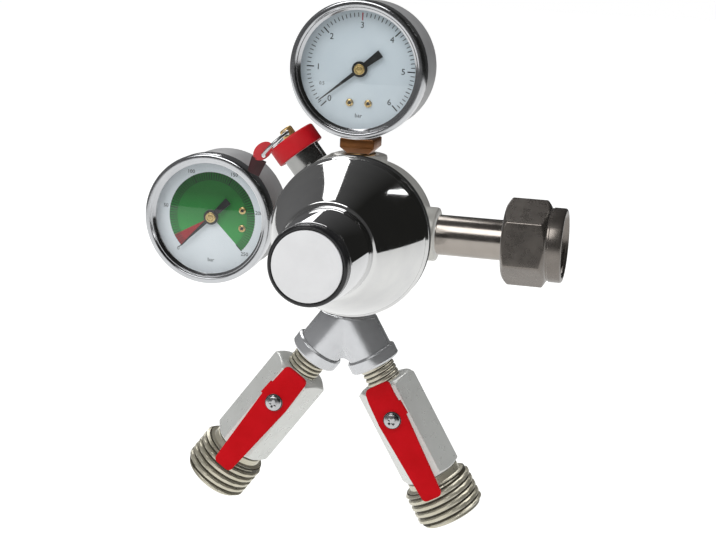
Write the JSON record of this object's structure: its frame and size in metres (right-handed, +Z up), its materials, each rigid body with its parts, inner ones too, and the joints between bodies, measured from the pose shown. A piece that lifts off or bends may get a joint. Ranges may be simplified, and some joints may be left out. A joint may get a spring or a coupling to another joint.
{
  "type": "carbon dioxide regulator",
  "caption": "Gas pressure regulator with knob and cone bonnet, two dial gauges, relief valve with pull ring, union nut inlet, and a wye with lever shut-off valves.",
  "frame": {"origin": "centre of the inlet's sealing face", "axes": "+X out of the inlet, +Z up, knob and dials face -Y"},
  "size_m": [0.1614, 0.0954, 0.2005],
  "materials": {
    "chrome": "bright chrome plate on brass",
    "satin_nickel": "satin nickel plate on forged brass",
    "warm_nickel": "warm nickel plate on brass",
    "green_nickel": "satin nickel plate on brass",
    "cast_grey": "satin grey plate on cast brass",
    "steel": "plain steel",
    "case_steel": "satin drawn steel",
    "brass": "bare machined brass",
    "spring_steel": "spring wire",
    "black_plastic": "black moulding",
    "label_grey": "pale printed disc, left bare",
    "rubber": "moulded rubber",
    "seal_white": "white sealing plastic",
    "dial_white": "printed dial sheet",
    "lens": "clear window",
    "pointer_black": "black needle",
    "red_paint": "red coating"
  },
  "bodies": {
    "regulator": {"regulator_body": "satin_nickel", "bonnet": "chrome", "diaphragm": "rubber", "diaphragm_ring": "brass", "nozzle": "brass", "poppet_spring": "spring_steel", "back_cap": "green_nickel", "range_spring": "spring_steel", "inlet_stem": "warm_nickel", "inlet_gasket": "seal_white", "low_gauge_case": "case_steel", "low_gauge_bezel": "chrome", "low_gauge_lens": "lens", "low_gauge_dial": "dial_white", "low_gauge_socket": "brass", "low_bourdon_tube": "brass", "low_dial_screw_a": "brass", "low_dial_screw_b": "brass", "high_gauge_case": "case_steel", "high_gauge_bezel": "chrome", "high_gauge_lens": "lens", "high_gauge_dial": "dial_white", "high_gauge_socket": "brass", "high_bourdon_tube": "brass", "high_dial_screw_a": "brass", "high_dial_screw_b": "brass", "relief_body": "chrome", "relief_cap": "red_paint", "relief_spring": "spring_steel", "wye": "cast_grey", "left_valve_body": "green_nickel", "left_outlet_nipple": "green_nickel", "left_inlet_seat": "seal_white", "left_outlet_seat": "seal_white", "right_valve_body": "green_nickel", "right_outlet_nipple": "green_nickel", "right_inlet_seat": "seal_white", "right_outlet_seat": "seal_white"},
    "knob": {"knob_shell": "chrome", "knob_ring": "black_plastic", "knob_label": "label_grey", "adjusting_screw": "steel"},
    "button": {"spring_button": "brass"},
    "valve_train": {"diaphragm_plate": "brass", "poppet": "steel"},
    "union_nut": {"inlet_nut": "warm_nickel"},
    "low_needle": {"low_pointer": "pointer_black"},
    "high_needle": {"high_pointer": "pointer_black"},
    "relief_plunger": {"relief_stem": "brass"},
    "ring": {"pull_ring": "steel", "ring_tag": "red_paint"},
    "left_handle": {"left_lever": "red_paint", "left_lever_screw": "steel", "left_valve_stem": "brass", "left_ball": "steel"},
    "right_handle": {"right_lever": "red_paint", "right_lever_screw": "steel", "right_valve_stem": "brass", "right_ball": "steel"}
  },
  "joints": [
    {"name": "knob_turn", "type": "hinge", "parent": "regulator", "child": "knob", "pos_m": [-0.0663, 0, 0], "axis": [0, 1, 0], "range_deg": [0, 1080]},
    {"name": "button_travel", "type": "slide", "parent": "regulator", "child": "button", "axis": [0, 1, 0], "range_m": [0, 0.0045], "deforming": ["range_spring"]},
    {"name": "valve_lift", "type": "slide", "parent": "regulator", "child": "valve_train", "axis": [0, 1, 0], "range_m": [0, 0.0008], "stiffness_N_per_m": 800, "springref_m": -0.001, "deforming": ["diaphragm", "poppet_spring"]},
    {"name": "nut_turn", "type": "hinge", "parent": "regulator", "child": "union_nut", "pos_m": [0, 0, 0], "axis": [1, 0, 0], "continuous": true},
    {"name": "low_pointer_turn", "type": "hinge", "parent": "regulator", "child": "low_needle", "pos_m": [-0.0663, -0.008, 0.0613], "axis": [0, 1, 0], "range_deg": [0, 270], "stiffness_Nm_per_rad": 0.0001},
    {"name": "high_pointer_turn", "type": "hinge", "parent": "regulator", "child": "high_needle", "pos_m": [-0.1249, 0, 0], "axis": [0, 1, 0], "range_deg": [0, 270], "stiffness_Nm_per_rad": 0.0001},
    {"name": "relief_pull", "type": "slide", "parent": "regulator", "child": "relief_plunger", "axis": [-0.6293, 0, 0.7771], "range_m": [0, 0.0025], "stiffness_N_per_m": 900, "springref_m": -0.002, "deforming": ["relief_spring"]},
    {"name": "ring_swing", "type": "hinge", "parent": "relief_plunger", "child": "ring", "pos_m": [-0.09487, -0.008, 0.03528], "axis": [0, 1, 0], "range_deg": [0, 150]},
    {"name": "left_lever_turn", "type": "hinge", "parent": "regulator", "child": "left_handle", "pos_m": [-0.09259, -0.0094, -0.06544], "axis": [-0.0609, 0.9981, 0.0032], "range_deg": [0, 90]},
    {"name": "right_lever_turn", "type": "hinge", "parent": "regulator", "child": "right_handle", "pos_m": [-0.04699, -0.0066, -0.06783], "axis": [0.0609, -0.9981, -0.0032], "range_deg": [0, 90]}
  ],
  "couplings": [
    {"joint": "button_travel", "follows": "knob_turn", "m_per_rad": 0.0002387}
  ]
}
